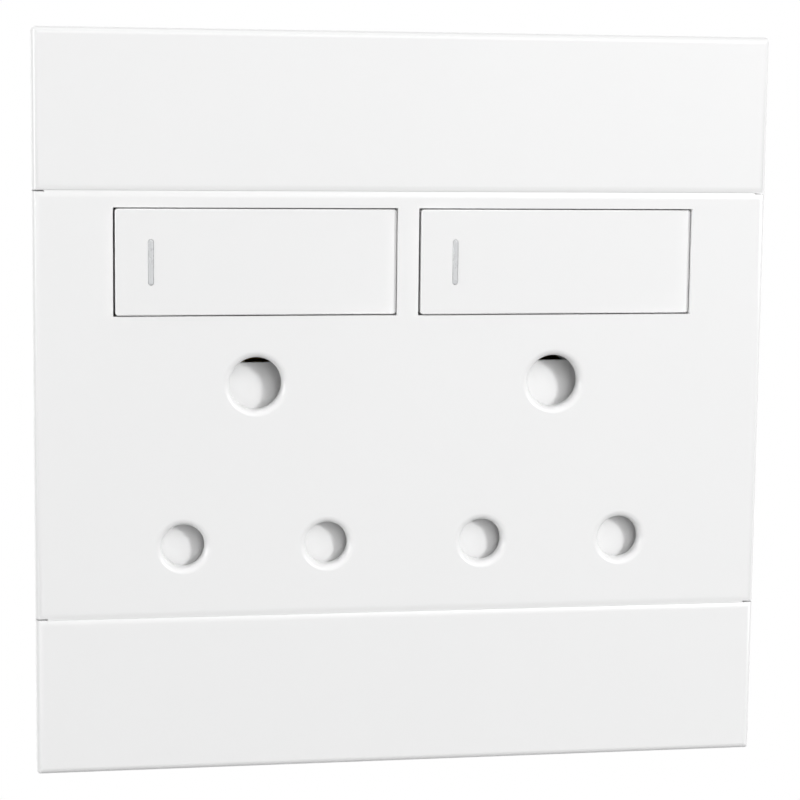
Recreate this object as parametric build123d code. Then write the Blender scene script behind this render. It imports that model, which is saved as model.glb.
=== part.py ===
"""Double switched wall socket with two rockers and two sets of three round pin holes.

The frame is the socket's own: X to the right as seen from the room, Z up, -Y into the
room. Y = 0 is the wall's surface and the origin is the middle of the cover, halfway
between the two fixing screws. All sizes are millimetres.
"""

import os
from math import cos, radians, sin, sqrt

from build123d import *

# Cover
plate_size = 130.0
protrusion = 9.5  # from the wall's surface to the cover's face
cover_wall = 2.5
side_wall = 2.0
wall_gap = 0.4  # the covers' sides stop this far from the wall
band_half = 37.3  # from the plate's middle to the middle of each groove
groove_width = 0.3
edge_round = 1.2
corner_round = 0.5
groove_dip = 0.25  # the covers dip this far towards a groove, and the centre one's lip closes it there
groove_curve = 2.5  # radius of that dip
lip_clearance = 0.03
lip_inset = 2.0
hook_width = 6.0
hook_thickness = 1.2
hook_barb = 0.9
hook_catch = 0.1  # the barbs stand this far behind the frame
hook_tip = 1.4
hook_slot_clearance = 0.2
hook_rows = (-20.0, 8.0)  # heights of the centre cover's snap legs
strip_hook_x = 30.0
strip_hook_z = 47.4
hook_platform_room = 0.25
post_radius = 1.6
post_inset = 6.6  # from the frame's edge to the covers' support posts
post_row = 30.0
post_middle = -6.0
post_room = 0.8

# Pins, as the round-pin 15 A standard has them
gang_pitch = 53.3
pin_pitch = 25.4
earth_rise = 28.6
live_z = -24.8
live_pin_radius = 3.53
earth_pin_radius = 4.355
cover_clearance = 0.25
sleeve_clearance = 0.07
pin_hole_round = 1.25

# Rockers
rocker_bridge = 4.15  # the cover's bar between the two rockers, their gaps included
rocker_height = 18.4
rocker_border = 2.85  # from the rocker's top to the centre cover's top edge
rocker_gap = 0.2
rocker_wall = 2.0
rocker_skirt = 1.4
rocker_skirt_depth = 4.5
rocker_round = 0.5
rocker_edge_round = 0.25
rocker_rib = 1.2
rocker_rib_height = 1.5
rocker_throw = 1.6  # degrees each side of level
pivot_depth = 4.7
trunnion_radius = 1.2
trunnion_length = 1.75
lug_half = 3.0
bearing_clearance = 0.04
stem_radius = 3.0
stem_bore = 1.75
stem_length = 12.0
stem_floor = 0.3
stem_spare = 2.0  # the bore is drilled this much further than the stem stands
lens_width = 1.0
lens_height = 8.0
lens_inset = 6.1  # from the rocker's left end to the middle of the lens
lens_flange = 0.7
lens_flange_depth = 0.8
lens_crown = 0.12  # the lens stands this far proud of the rocker
lens_round = 0.35

# Mounting frame
frame_thickness = 2.0
frame_clearance = 0.4
frame_round = 2.0
root = 0.5  # what stands on a wall starts this deep inside it
platform_height = 1.2
platform_margin = 2.55
rail_width = 1.2
cheek_thickness = 1.9
cheek_shoulder = 2.0  # the bearing cheeks reach this far beside their hole
stop_clearance = 0.12
stop_pad_width = 2.0
stop_pad_half = 4.0
bearing_room = 0.15
window_room = 0.8
platform_skirt = 0.1  # the platform reaches this far past the shutters' rails
boss_floor = 2.0

# Fixing screws
screw_spacing = 84.0
screw_radius = 1.75
screw_length = 25.0
screw_head_radius = 3.4
screw_head_height = 2.0
neck_share = 0.88  # a plain neck is this share of the thread's width
head_round_share = 0.55  # of the head's height, and the cross recess is as deep
recess_share = 0.3  # the cross recess's arms, of the head's radius
tip_share = 0.25  # the bevel at the tip, of the thread's radius
screw_slot_clearance = 0.25
screw_slot_length = 8.0

# Shutters
shutter_thickness = 2.6
shutter_clearance = 0.2
shutter_travel = 8.8
shutter_lip = 1.37  # how far the shutter's top lies below the top of the earth hole
shutter_overlap = 0.45
shutter_side_overlap = 0.92
shutter_head = 12.0
shutter_ramp = 1.5
shutter_head_below = 2.5
spine_width = 8.0
spring_slot = 4.4
spring_slot_length = 15.0
spring_post = 1.6
spring_post_clearance = 0.3
spring_post_step = 0.1
shutter_stop_inset = 5.08

# Springs
spring_wire = 0.17
spring_mean_radius = 1.08
shutter_spring_turns = 9
plunger_spring_turns = 6
plunger_radius = 1.6
plunger_clearance = 0.15
plunger_spring_room = 6.0
spring_seat = 0.05

# Contacts
sheet = 1.0
sleeve_wall = 0.8
sleeve_front = 0.3
sleeve_slit = 0.8
slit_share = 0.55  # of the sleeve's length
live_sleeve_end = 13.0
neutral_sleeve_end = 17.0
earth_sleeve_end = 21.0
earth_sheet = 1.2
arm_pivot_y = 8.0
arm_width = 5.0
arm_short = 6.0
arm_long = 13.6
arm_reach = 12.0
arm_swing = 7.0  # degrees each side of level
arm_round = 1.0
tip_radius = 1.6
tip_thickness = 0.6
contact_clearance = 0.1
strap_width = 4.3
strap_gap = 3.175  # from an earth sleeve to the live strap beside it
strap_cross = 5.0
pad_half = 3.6
tab_half = 2.5
busbar_rail = 3.0
busbar_room = 0.5
earth_bar_share = 0.8  # of the earth sleeves' width

# Terminals
terminal_width = 7.2
terminal_height = 8.0
terminal_depth = 7.8
terminal_z = 24.0
wire_radius = 2.1
wire_inset = 2.95
clamp_radius = 1.7
clamp_length = 3.7
clamp_head_radius = 2.8
clamp_head_height = 2.0
clamp_head_clearance = 0.2
clamp_lift = 0.05  # the clamp screws end this far above the wire bores
terminal_round = 0.5
terminal_room = 0.8
neutral_gap = 1.625

# Indicators
board_width = 7.0
board_height = 8.0
board_thickness = 1.0
led_width = 2.8
led_length = 3.5
led_height = 1.1
led_base_share = 0.6  # of its height, with the window above

# Rear housing
screw_room = 3.75  # from the rear housing to a fixing screw
housing_room = 0.2
housing_wall = 2.0
housing_round = 4.0
housing_edge_round = 1.0
guide_tube_room = 0.15
guide_tube_wall = 0.9
guide_tube_length = 10.0
boss_radius = 2.6
boss_length = 8.0
housing_screw_radius = 1.45
housing_screw_length = 16.0
housing_screw_head = 2.7
housing_screw_seat = 19.0
housing_screw_clearance = 0.2
housing_head_clearance = 0.3
counterbore_wall = 1.4
counterbore_floor = 0.8
top_screw_z = 26.0
side_screw_z = -9.0
post_wide = 3.0
post_slim = 1.8
wire_hole_clearance = 0.6
driver_hole_clearance = 0.5

# How far cuts run past the faces that they open
past = 1.0
ramp_past = 0.01

# Places that follow from the sizes above
face_y = -protrusion
cover_back = face_y + cover_wall
half_plate = plate_size / 2
band_edge = band_half - groove_width / 2
strip_edge = band_half + groove_width / 2
inner_half = half_plate - side_wall
rocker_width = gang_pitch - rocker_bridge
rocker_z = band_edge - rocker_border - rocker_height / 2
post_rows = (-post_row, post_middle, rocker_z - rocker_height / 2 - rocker_gap - post_radius - post_room)
frame_half = inner_half - frame_clearance
frame_front = -frame_thickness
platform_front = frame_front - platform_height
live_outer = live_pin_radius + sleeve_clearance + sleeve_wall
earth_outer = earth_pin_radius + sleeve_clearance + sleeve_wall
earth_z = live_z + earth_rise
live_hole = live_pin_radius + cover_clearance
earth_hole = earth_pin_radius + cover_clearance
shutter_side = pin_pitch / 2 + live_hole + shutter_side_overlap
pivot_y = face_y + pivot_depth
rocker_back = face_y + rocker_wall
skirt_back = face_y + rocker_skirt_depth
shutter_back = platform_front - shutter_clearance
shutter_front = shutter_back - shutter_thickness
shutter_top = earth_z + earth_hole - shutter_lip
crossbar_top = live_z + live_hole + shutter_overlap
crossbar_bottom = live_z - live_hole - shutter_overlap
rail_bottom = crossbar_bottom - shutter_travel - shutter_clearance
slot_top = shutter_top - shutter_head
slot_bottom = slot_top - spring_slot_length
post_bottom = slot_bottom + shutter_clearance
post_top = post_bottom + spring_post
live_strap_y = live_sleeve_end
neutral_strap_y = neutral_sleeve_end
earth_strap_y = earth_sleeve_end
tip_drop = (arm_reach + tip_radius) * sin(radians(arm_swing)) + tip_thickness * cos(radians(arm_swing))
fixed_tip_front = arm_pivot_y + tip_drop + contact_clearance
busbar_y = fixed_tip_front + tip_thickness
plunger_tip_y = arm_pivot_y - sheet - plunger_clearance
plunger_top_y = rocker_back + plunger_spring_room
housing_back = neutral_strap_y + sheet + terminal_depth + housing_room
housing_depth = housing_back + housing_wall
housing_height = screw_spacing - 2 * (screw_radius + screw_room)
inner_width = (gang_pitch + pin_pitch) / 2 + live_outer + guide_tube_room + guide_tube_wall + housing_room
inner_height = housing_height / 2 - housing_wall
cheek_outer = rocker_height / 2 + rocker_gap + cheek_thickness
platform_half = gang_pitch / 2 + shutter_side + shutter_clearance + rail_width + platform_margin
hook_x = platform_half + hook_slot_clearance + hook_platform_room + hook_thickness / 2
post_x = frame_half - post_inset
gangs = {"left": -gang_pitch / 2, "right": gang_pitch / 2}
side_screw_x = inner_width - boss_radius - housing_room
housing_screws = [
    (0, top_screw_z),
    (0, boss_radius + housing_room / 2 - inner_height),
    (side_screw_x, side_screw_z),
    (-side_screw_x, side_screw_z),
]
terminal_x = boss_radius + counterbore_wall + terminal_room + terminal_width / 2
neutral_rise = gangs["left"] - earth_outer - neutral_gap - tab_half


def block(x, y, z):
    """Make a box from its (low, high) pairs on the three axes."""
    size = [high - low for low, high in (x, y, z)]
    middle = [(high + low) / 2 for low, high in (x, y, z)]
    return Pos(*middle) * Box(*size)


def around(middle, half):
    """Give the (low, high) pair that reaches half each way from the middle."""
    return (middle - half, middle + half)


def rod_y(radius, x, z, y):
    """Make a round rod along Y over the (low, high) pair y."""
    return Pos(x, sum(y) / 2, z) * Rot(90, 0, 0) * Cylinder(radius, y[1] - y[0])


def rod_z(radius, x, y, z):
    """Make a round rod along Z over the (low, high) pair z."""
    return Pos(x, y, sum(z) / 2) * Cylinder(radius, z[1] - z[0])


def slot_y(width, length, x, z, y, upright=False):
    """Make a bar with round ends, its length along X or, upright, along Z."""
    straight = (length - width) / 2
    along = (0, straight) if upright else (straight, 0)
    half = (width / 2, straight) if upright else (straight, width / 2)
    bar = block(around(x, half[0]), y, around(z, half[1]))
    for sign in (-1, 1):
        bar += rod_y(width / 2, x + sign * along[0], z + sign * along[1], y)
    return bar


def edges_at_y(shape, y):
    """Pick the edges that lie flat in the plane at y."""
    return shape.edges().filter_by_position(Axis.Y, y - 0.01, y + 0.01)


def edges_along_y(shape, x, z):
    """Pick the straight edges along Y at the distances x and z from the middle."""
    picked = []
    for edge in shape.edges().filter_by(Axis.Y):
        middle = edge.center()
        if abs(abs(middle.X) - x) < 0.01 and abs(abs(middle.Z) - z) < 0.01:
            picked.append(edge)
    return picked


def coil(mean_radius, wire, length, turns):
    """Make a helical spring that stands on the origin along Z."""
    pitch = (length - 2 * wire) / turns
    path = Helix(pitch, pitch * turns, mean_radius)
    profile = Plane(origin=path @ 0, z_dir=path % 0) * Circle(wire)
    return Pos(0, 0, wire) * sweep(profile, path, is_frenet=True)


def cross_recess(radius, depth):
    """Make the cutter for a cross recess that goes down Z from the origin."""
    width = radius * recess_share
    arm = Box(radius * 1.2, width, 2 * depth)
    return arm + Rot(0, 0, 90) * arm


def pan_screw(shank_radius, length, head_radius, head_height, neck=0):
    """Make a pan-head screw along Z: head below Z = 0, then any plain neck, then the thread."""
    head = Pos(0, 0, -head_height / 2) * Cylinder(head_radius, head_height)
    top = head.edges().filter_by(GeomType.CIRCLE).sort_by(Axis.Z)[0]
    head = fillet(top, head_height * head_round_share)
    head -= Pos(0, 0, -head_height) * cross_recess(head_radius, head_height * head_round_share)
    shank = Pos(0, 0, (neck + length) / 2) * Cylinder(shank_radius, length - neck)
    tip = shank.edges().filter_by(GeomType.CIRCLE).sort_by(Axis.Z)[-1]
    screw = head + chamfer(tip, shank_radius * tip_share)
    if neck:
        screw += Pos(0, 0, neck / 2) * Cylinder(shank_radius * neck_share, neck)
    return screw


def turned_to_wall(shape):
    """Turn a shape made along +Z so that it runs along +Y, into the wall."""
    return Rot(-90, 0, 0) * shape


def turned_to_room(shape):
    """Turn a shape made along +Z so that it runs along -Y, into the room."""
    return Rot(90, 0, 0) * shape


# Covers


def hook_leg(x, z, along_x, inward):
    """Make a snap leg that goes through the mounting frame and grips its back."""
    half, wide = hook_thickness / 2, hook_width / 2
    grip = (-half - hook_barb, half) if inward < 0 else (-half, half + hook_barb)
    leg_y, barb_y = (cover_back, hook_tip), (hook_catch, hook_tip)
    if along_x:
        leg = block(around(x, wide), leg_y, around(z, half))
        return leg + block(around(x, wide), barb_y, (z + grip[0], z + grip[1]))
    leg = block(around(x, half), leg_y, around(z, wide))
    return leg + block((x + grip[0], x + grip[1]), barb_y, around(z, wide))


def round_cover(shell):
    """Round a cover's front edges along the plate's rim, and then the plate's corners."""
    rim = []
    for edge in edges_at_y(shell, face_y):
        middle = edge.center()
        if max(abs(middle.X), abs(middle.Z)) > half_plate - groove_width:
            rim.append(edge)
    shell = fillet(rim, edge_round)
    corners = []
    for edge in shell.edges():
        middle = edge.center()
        if min(abs(middle.X), abs(middle.Z)) > half_plate - edge_round:
            corners.append(edge)
    return fillet(corners, corner_round) if corners else shell


def dip_cutter(edge_z, outward):
    """Make the cutter that curves a cover's front down to its edge beside a groove."""
    width = sqrt(groove_curve**2 - (groove_curve - groove_dip) ** 2)
    start = edge_z - outward * width
    band_z = sorted((start, edge_z + outward * past))
    band = block(around(0, half_plate + past), (face_y - past, face_y + groove_dip), band_z)
    length = 2 * (half_plate + 2 * past)
    return band - Pos(0, face_y + groove_curve, start) * Rot(0, 90, 0) * Cylinder(groove_curve, length)


def make_faceplate():
    """Make the centre cover with its rocker openings and pin holes."""
    shell = block(around(0, half_plate), (face_y, -wall_gap), around(0, band_edge))
    shell = round_cover(shell)
    shell -= block(around(0, inner_half), (cover_back, 0), around(0, band_half))
    for x in gangs.values():
        opening_x = around(x, rocker_width / 2 + rocker_gap)
        opening_z = around(rocker_z, rocker_height / 2 + rocker_gap)
        shell -= block(opening_x, (face_y - past, 0), opening_z)
    holes = []
    for x in gangs.values():
        holes.append((x, earth_z, earth_hole))
        holes += [(x + side * pin_pitch / 2, live_z, live_hole) for side in (-1, 1)]
    for x, z, radius in holes:
        shell -= rod_y(radius, x, z, (face_y - past, 0))
    rims = edges_at_y(shell, face_y).filter_by(GeomType.CIRCLE)
    shell = fillet(rims.filter_by(lambda edge: edge.radius > live_pin_radius), pin_hole_round)
    for sign in (-1, 1):
        shell -= dip_cutter(sign * band_edge, sign)
        lip_z = sorted((sign * (band_edge - edge_round), sign * (strip_edge - lip_clearance)))
        shell += block(around(0, half_plate - lip_inset), (face_y + groove_dip, cover_back), lip_z)
    for x in (-hook_x, hook_x):
        for z in hook_rows:
            shell += hook_leg(x, z, False, -x)
    for x in (-post_x, post_x):
        for z in post_rows:
            shell += rod_y(post_radius, x, z, (cover_back, frame_front))
    return shell


def make_strip(sign):
    """Make the clip-on cover over the screws above (1) or below (-1) the centre."""
    z = sorted((sign * strip_edge, sign * half_plate))
    shell = block(around(0, half_plate), (face_y, -wall_gap), z)
    shell = round_cover(shell) - dip_cutter(sign * strip_edge, -sign)
    hollow_z = sorted((sign * (strip_edge - past), sign * inner_half))
    shell -= block(around(0, inner_half), (cover_back, 0), hollow_z)
    for x in (-strip_hook_x, strip_hook_x):
        shell += hook_leg(x, sign * strip_hook_z, True, -sign)
    for x in (-post_x, 0.0, post_x):
        shell += rod_y(post_radius, x, sign * post_x, (cover_back, frame_front))
    return shell


# Rockers


def in_rocker(shape, x):
    """Turn a piece of the level rocker at x to where the switch is off."""
    return Pos(x, pivot_y, 0) * Rot(0, 0, rocker_throw) * Pos(-x, -pivot_y, 0) * shape


def make_rocker(x):
    """Make a rocker with its skirt, trunnions and hollow stem."""
    half_x, half_z = rocker_width / 2, rocker_height / 2
    body = block(around(x, half_x), (face_y, skirt_back), around(rocker_z, half_z))
    body = fillet(body.edges().filter_by(Axis.Y), rocker_round)
    body = fillet(edges_at_y(body, face_y), rocker_edge_round)
    inside_x = around(x, half_x - rocker_skirt)
    inside_z = around(rocker_z, half_z - rocker_skirt)
    body -= block(inside_x, (rocker_back, 0), inside_z)
    for side in (-1, 1):
        edge_z = rocker_z + side * half_z
        lug_z = sorted((edge_z, edge_z - side * rocker_skirt))
        body += block(around(x, lug_half), (rocker_back, pivot_y + trunnion_radius), lug_z)
        pin_z = sorted((edge_z - side * root, edge_z + side * trunnion_length))
        body += rod_z(trunnion_radius, x, pivot_y, pin_z)
    for rib in (-1, 1):
        rib_x = around(x + rib * half_x / 2, rocker_rib / 2)
        body += block(rib_x, (rocker_back, rocker_back + rocker_rib_height), inside_z)
    body += rod_y(stem_radius, x, rocker_z, (rocker_back - root, rocker_back + stem_length - stem_spare))
    body -= rod_y(stem_bore, x, rocker_z, (rocker_back + stem_floor, rocker_back + stem_length))
    slit_y = (face_y - past, rocker_back + past)
    body -= slot_y(lens_width, lens_height, x - half_x + lens_inset, rocker_z, slit_y, True)
    return in_rocker(body, x)


def make_lens(x):
    """Make the indicator's light guide, which plugs the slit from behind."""
    lens_x = x - rocker_width / 2 + lens_inset
    front = (face_y - lens_crown, rocker_back)
    lens = slot_y(lens_width, lens_height, lens_x, rocker_z, front, True)
    lens = fillet(edges_at_y(lens, front[0]), lens_round)
    flange = (rocker_back, rocker_back + lens_flange_depth)
    width, height = lens_width + 2 * lens_flange, lens_height + 2 * lens_flange
    return in_rocker(lens + slot_y(width, height, lens_x, rocker_z, flange, True), x)


def make_plunger(x):
    """Make the round-nosed plunger that slides in the rocker's stem."""
    nose_y = plunger_tip_y - plunger_radius
    body = rod_y(plunger_radius, x, rocker_z, (plunger_top_y, nose_y))
    return in_rocker(body + Pos(x, nose_y, rocker_z) * Sphere(plunger_radius), x)


def make_plunger_spring(x):
    """Make the coil spring between the stem's blind end and the plunger."""
    start = rocker_back + stem_floor + spring_seat
    length = plunger_top_y - start - spring_seat
    spring = coil(spring_mean_radius, spring_wire, length, plunger_spring_turns)
    return in_rocker(Pos(x, start, rocker_z) * turned_to_wall(spring), x)


# Shutters


def make_shutter(x):
    """Make the sliding shutter: a ramped head, a slotted spine and a crossbar."""
    y = (shutter_front, shutter_back)
    head_bottom = slot_top - shutter_head_below
    head = block(around(x, shutter_head / 2), y, (head_bottom, shutter_top))
    ramp_y = shutter_front + shutter_ramp
    with BuildSketch(Plane.YZ) as wedge:
        Polygon(
            (shutter_front - ramp_past, head_bottom),
            (ramp_y, shutter_top + ramp_past),
            (shutter_front - ramp_past, shutter_top + ramp_past),
            align=None,
        )
    head -= Pos(x - shutter_head, 0, 0) * extrude(wedge.sketch, 2 * shutter_head)
    spine = block(around(x, spine_width / 2), y, (crossbar_bottom, slot_top))
    crossbar = block(around(x, shutter_side), y, (crossbar_bottom, crossbar_top))
    body = head + spine + crossbar
    body -= block(around(x, spring_slot / 2), (y[0] - past, y[1] + past), (slot_bottom, slot_top))
    return body


def make_shutter_spring(x):
    """Make the spring that lifts the shutter off the fixed post in its slot."""
    length = slot_top - post_top - 2 * spring_seat
    spring = coil(spring_mean_radius, spring_wire, length, shutter_spring_turns)
    return Pos(x, (shutter_front + shutter_back) / 2, post_top + spring_seat) * spring


# Mounting frame


def gang_guides(x):
    """Make what the frame carries in front for one gang: rails, bearings, stops."""
    pieces = []
    rail_y = (shutter_front - shutter_clearance, platform_front)
    stop_z = (crossbar_top + shutter_clearance, crossbar_top + shutter_clearance + rail_width)
    stop_inner = spine_width / 2 + shutter_clearance + shutter_stop_inset
    for side in (-1, 1):
        inner = shutter_side + shutter_clearance
        rail_x = sorted((x + side * inner, x + side * (inner + rail_width)))
        pieces.append(block(rail_x, rail_y, (rail_bottom, stop_z[1])))
        stop_x = sorted((x + side * stop_inner, x + side * (inner + rail_width)))
        pieces.append(block(stop_x, rail_y, stop_z))
        head_inner = shutter_head / 2 + shutter_clearance
        head_x = sorted((x + side * head_inner, x + side * (head_inner + rail_width)))
        pieces.append(block(head_x, rail_y, (shutter_top - shutter_head - shutter_travel, shutter_top)))
        edge_z = rocker_z + side * (rocker_height / 2 + rocker_gap)
        cheek_z = sorted((edge_z, edge_z + side * cheek_thickness))
        cheek_x = around(x, trunnion_radius + cheek_shoulder)
        cheek = block(cheek_x, (cover_back + bearing_room, platform_front), cheek_z)
        pieces.append(cheek)
        end = rocker_width / 2
        sink = end * sin(radians(rocker_throw))
        stop_y = skirt_back + sink + stop_clearance
        pad_x = sorted((x + side * (end - stop_pad_width), x + side * end))
        pieces.append(block(pad_x, (stop_y, frame_front + root), around(rocker_z, stop_pad_half)))
    post_y = (shutter_front + spring_post_step, platform_front)
    pieces.append(block(around(x, spring_slot / 2 - spring_post_clearance), post_y, (post_bottom, post_top)))
    return pieces


def pin_places(x):
    """Give the middle, pin radius and sleeve end of one gang's three pins."""
    return {
        "earth": (x, earth_z, earth_pin_radius, earth_sleeve_end),
        "live": (x + pin_pitch / 2, live_z, live_pin_radius, live_sleeve_end),
        "neutral": (x - pin_pitch / 2, live_z, live_pin_radius, neutral_sleeve_end),
    }


def make_mounting_frame():
    """Make the moulded frame that the screws hold and that carries every piece."""
    frame = block(around(0, frame_half), (frame_front, 0), around(0, frame_half))
    frame = fillet(edges_along_y(frame, frame_half, frame_half), frame_round)
    platform_z = (rail_bottom - platform_skirt, rocker_z + cheek_outer + rail_width)
    frame += block(around(0, platform_half), (platform_front, -root), platform_z)
    for x in gangs.values():
        for piece in gang_guides(x):
            frame += piece
        for px, pz, radius, _ in pin_places(x).values():
            outer = radius + sleeve_clearance + sleeve_wall + guide_tube_room + guide_tube_wall
            frame += rod_y(outer, px, pz, (-root, guide_tube_length))
    for x, z in housing_screws:
        frame += rod_y(boss_radius, x, z, (-root, boss_length))
    for x in gangs.values():
        for px, pz, radius, _ in pin_places(x).values():
            frame -= rod_y(radius + sleeve_clearance, px, pz, (platform_front - past, past))
            pocket = radius + sleeve_clearance + sleeve_wall + guide_tube_room
            frame -= rod_y(pocket, px, pz, (0, guide_tube_length + past))
        bearing = trunnion_radius + bearing_clearance
        frame -= rod_z(bearing, x, pivot_y, around(rocker_z, cheek_outer + past))
        window = stem_radius + window_room
        frame -= block(around(x, window), (platform_front - past, past), around(rocker_z, window))
    for x, z in housing_screws:
        frame -= rod_y(housing_screw_radius, x, z, (boss_floor, boss_length + past))
    slot_half = hook_thickness / 2 + hook_slot_clearance
    slot_long = hook_width / 2 + hook_slot_clearance
    for sign in (-1, 1):
        slot_width = 2 * (screw_radius + screw_slot_clearance)
        slot_y_pair = (frame_front - past, past)
        frame -= slot_y(slot_width, screw_slot_length, 0, sign * screw_spacing / 2, slot_y_pair)
        for x in (-strip_hook_x, strip_hook_x):
            hole_z = around(sign * strip_hook_z, slot_half)
            frame -= block(around(x, slot_long), (frame_front - past, past), hole_z)
    for x in (-hook_x, hook_x):
        for z in hook_rows:
            frame -= block(around(x, slot_half), (platform_front - past, past), around(z, slot_long))
    return frame


def make_mounting_screws():
    """Make the two screws that hold the frame to the wall box."""
    head = (screw_head_radius, screw_head_height)
    screw = turned_to_wall(pan_screw(screw_radius, screw_length, *head, neck=frame_thickness))
    return [Pos(0, frame_front, sign * screw_spacing / 2) * screw for sign in (-1, 1)]


# Contacts


def make_sleeve(x, z, pin_radius, end):
    """Make a round contact sleeve, slit at its front so that its halves spring."""
    inner = pin_radius + sleeve_clearance
    sleeve = rod_y(inner + sleeve_wall, x, z, (sleeve_front, end))
    sleeve -= rod_y(inner, x, z, (sleeve_front - past, end + past))
    slit_y = (sleeve_front - past, sleeve_front + (end - sleeve_front) * slit_share)
    sleeve -= block(around(x, sleeve_slit / 2), slit_y, around(z, inner + sleeve_wall + past))
    return sleeve


def strap_places(x):
    """Give the upright run's x pair and the cross run's z pair of a live strap."""
    start = x + earth_outer + strap_gap
    cross = earth_z + earth_outer + strap_gap
    return (start, start + strap_width), (cross, cross + strap_cross)


def make_live_strap(x):
    """Make the folded strap from a live sleeve to the knife edge under its arm."""
    y = (live_strap_y, live_strap_y + sheet)
    pin_x = x + pin_pitch / 2
    run_x, cross_z = strap_places(x)
    strap = block(around(pin_x, pad_half), y, around(live_z, pad_half))
    strap += block(run_x, y, (live_z, cross_z[1]))
    strap += block((x - tab_half, run_x[1]), y, cross_z)
    strap += block(around(x, tab_half), y, (cross_z[0], rocker_z + arm_width / 2))
    edge_y = arm_pivot_y + contact_clearance
    arm_z = around(rocker_z, arm_width / 2)
    ear = block(around(x, sheet / 2), (edge_y + sheet / 2, live_strap_y + sheet / 2), arm_z)
    nose = rod_z(sheet / 2, x, edge_y + sheet / 2, arm_z)
    return strap + ear + nose


def arm_place(x):
    """Give the turn that sets a level contact arm at x to its open position."""
    return Pos(x, arm_pivot_y, 0) * Rot(0, 0, -arm_swing)


def make_contact_arm(x):
    """Make the see-saw arm that the plunger tips over."""
    y = (-sheet, 0)
    arm = block((-arm_short, arm_long), y, around(rocker_z, arm_width / 2))
    arm = fillet(arm.edges().filter_by(Axis.Y), arm_round)
    return arm_place(x) * arm


def make_arm_tip(x):
    """Make the rivet head on the arm that touches the fixed tip."""
    return arm_place(x) * rod_y(tip_radius, arm_reach, rocker_z, (0, tip_thickness))


def make_fixed_tip(x):
    """Make the rivet head on the busbar under the arm's end."""
    return rod_y(tip_radius, x + arm_reach, rocker_z, (fixed_tip_front, busbar_y))


def make_live_busbar():
    """Make the flat comb that feeds both switches from the live terminal."""
    y = (busbar_y, busbar_y + sheet)
    rail_top = inner_height - busbar_room
    left = gangs["left"] + arm_reach - tip_radius
    right = gangs["right"] + arm_reach + tip_radius
    bar = block((left, right), y, (rail_top - busbar_rail, rail_top))
    for x in gangs.values():
        tab_x = around(x + arm_reach, tip_radius)
        bar += block(tab_x, y, (rocker_z - tab_half, rail_top))
    foot_z = (terminal_z - terminal_height / 2, rail_top)
    bar += block(around(terminal_x, terminal_width / 2), y, foot_z)
    return bar


def make_neutral_bar():
    """Make the bar that joins the neutral sleeves and rises to the terminal."""
    y = (neutral_strap_y, neutral_strap_y + sheet)
    left = gangs["left"] - pin_pitch / 2
    right = gangs["right"] - pin_pitch / 2
    bar = block((left - pad_half, right + pad_half), y, around(live_z, pad_half))
    top = terminal_z + terminal_height / 2
    bar += block(around(neutral_rise, tab_half), y, (live_z, top))
    bar += block(around(neutral_rise, terminal_width / 2), y, around(terminal_z, terminal_height / 2))
    return bar


def make_earth_bar():
    """Make the bar that joins the earth sleeves and rises to the terminal."""
    y = (earth_strap_y, earth_strap_y + earth_sheet)
    bar = block(around(0, gang_pitch / 2 + earth_outer), y, around(earth_z, earth_outer * earth_bar_share))
    top = terminal_z + terminal_height / 2
    bar += block(around(-terminal_x, terminal_width / 2), y, (earth_z, top))
    head_hole = clamp_head_radius + clamp_head_clearance
    bar -= rod_y(head_hole, -terminal_x, terminal_z, (y[0] - past, y[1] + past))
    return bar


# Terminals, each with the y of its front face and the way its screw is held
terminals = {
    "live": (terminal_x, busbar_y + sheet),
    "neutral": (neutral_rise, neutral_strap_y + sheet),
    "earth": (-terminal_x, earth_strap_y - terminal_depth),
}


def make_terminal(x, front):
    """Make a brass terminal block with its wire bore and its tapped hole."""
    y = (front, front + terminal_depth)
    body = block(around(x, terminal_width / 2), y, around(terminal_z, terminal_height / 2))
    body = fillet(body.edges().filter_by(Axis.Y), terminal_round)
    length = terminal_height / 2 + past
    body -= rod_z(wire_radius, x, front + wire_inset, around(terminal_z, length))
    body -= rod_y(clamp_radius, x, terminal_z, (front + wire_inset, y[1] + past))
    return body


def make_terminal_screws():
    """Make the three clamp screws, backed off so that the wire bores are free."""
    screws = []
    for x, front in terminals.values():
        screw = pan_screw(clamp_radius, clamp_length, clamp_head_radius, clamp_head_height)
        tip_y = front + wire_inset + wire_radius + clamp_lift
        screws.append(Pos(x, tip_y + clamp_length, terminal_z) * turned_to_room(screw))
    return screws


# Indicators


def make_board(x):
    """Make the small circuit board that lies under the lens."""
    middle = x - rocker_width / 2 + lens_inset
    y = (platform_front - board_thickness, platform_front)
    return block(around(middle, board_width / 2), y, around(rocker_z, board_height / 2))


def make_led(x):
    """Make the lamp on the board, right behind the lens."""
    middle = x - rocker_width / 2 + lens_inset
    back = platform_front - board_thickness
    front = back - led_height
    base_y = (back - led_height * led_base_share, back)
    base = block(around(middle, led_width / 2), base_y, around(rocker_z, led_length / 2))
    window_x, window_z = around(middle, led_width / 3), around(rocker_z, led_length / 3)
    return base + block(window_x, (front, base_y[0]), window_z)


# Rear housing


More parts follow.
